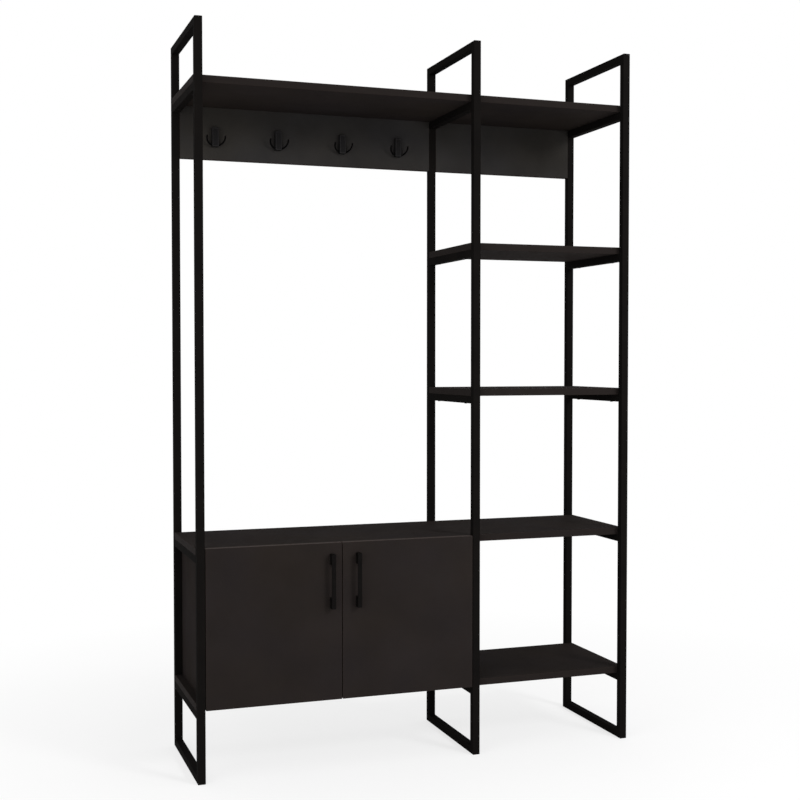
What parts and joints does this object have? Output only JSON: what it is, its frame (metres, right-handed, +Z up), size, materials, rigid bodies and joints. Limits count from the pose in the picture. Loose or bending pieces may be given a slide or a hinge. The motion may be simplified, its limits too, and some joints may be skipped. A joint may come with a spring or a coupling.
{
  "type": "hall tree with hooks",
  "caption": "Free-standing hall tree: steel tube loops carrying boards, a bench cabinet with two hinged doors, a coat hook panel and an open shelf column.",
  "frame": {"origin": "on the floor, under the centre of the overall box, handles included", "axes": "+Z up, +Y to the rear, away from the doors, +X to the right as seen from the front"},
  "size_m": [1.2, 0.373, 1.893],
  "materials": {
    "frame_steel": "matt black powder coat",
    "anthracite_board": "matt anthracite melamine on particle board",
    "back_board": "thin hardboard with anthracite paper",
    "handle_metal": "satin black lacquer",
    "hook_metal": "satin black lacquer",
    "hinge_steel": "nickel plated",
    "screw_steel": "zinc plated",
    "black_screws": "black lacquered steel"
  },
  "bodies": {
    "left_door_leaf": {"left_cup_screws": "screw_steel", "left_door": "anthracite_board", "left_handle": "handle_metal", "left_handle_screws": "screw_steel", "left_hinge_cups": "hinge_steel"},
    "right_door_leaf": {"right_cup_screws": "screw_steel", "right_door": "anthracite_board", "right_handle": "handle_metal", "right_handle_screws": "screw_steel", "right_hinge_cups": "hinge_steel"},
    "stand": {"back_nails": "screw_steel", "base_board": "anthracite_board", "bench_top": "anthracite_board", "board_screws": "black_screws", "cabinet_back": "back_board", "cabinet_left_side": "anthracite_board", "cabinet_right_side": "anthracite_board", "cabinet_shelf": "anthracite_board", "coat_hook_1": "hook_metal", "coat_hook_2": "hook_metal", "coat_hook_3": "hook_metal", "coat_hook_4": "hook_metal", "hinge_plate_screws": "screw_steel", "hook_panel_left": "anthracite_board", "hook_panel_right": "anthracite_board", "hook_screws": "black_screws", "left_frame_base_rail": "frame_steel", "left_frame_bench_rail": "frame_steel", "left_frame_foot_tube": "frame_steel", "left_frame_front_post": "frame_steel", "left_frame_head_tube": "frame_steel", "left_frame_rear_post": "frame_steel", "left_frame_top_shelf_rail": "frame_steel", "left_hinge_arms": "hinge_steel", "left_hinge_plates": "hinge_steel", "middle_frame_base_rail": "frame_steel", "middle_frame_bench_rail": "frame_steel", "middle_frame_foot_tube": "frame_steel", "middle_frame_front_post": "frame_steel", "middle_frame_head_tube": "frame_steel", "middle_frame_middle_shelf_rail": "frame_steel", "middle_frame_rear_post": "frame_steel", "middle_frame_top_shelf_rail": "frame_steel", "middle_frame_upper_shelf_rail": "frame_steel", "middle_shelf": "anthracite_board", "right_frame_base_rail": "frame_steel", "right_frame_bench_rail": "frame_steel", "right_frame_foot_tube": "frame_steel", "right_frame_front_post": "frame_steel", "right_frame_head_tube": "frame_steel", "right_frame_middle_shelf_rail": "frame_steel", "right_frame_rear_post": "frame_steel", "right_frame_top_shelf_rail": "frame_steel", "right_frame_upper_shelf_rail": "frame_steel", "right_hinge_arms": "hinge_steel", "right_hinge_plates": "hinge_steel", "shelf_supports": "hinge_steel", "top_shelf": "anthracite_board", "upper_shelf": "anthracite_board"}
  },
  "joints": [
    {"name": "left_door_hinge", "type": "hinge", "parent": "stand", "child": "left_door_leaf", "pos_m": [-0.578, -0.1665, 0.385], "axis": [0, 0, -1], "range_deg": [0, 105]},
    {"name": "right_door_hinge", "type": "hinge", "parent": "stand", "child": "right_door_leaf", "pos_m": [0.135, -0.1665, 0.385], "axis": [0, 0, 1], "range_deg": [0, 105]}
  ]
}
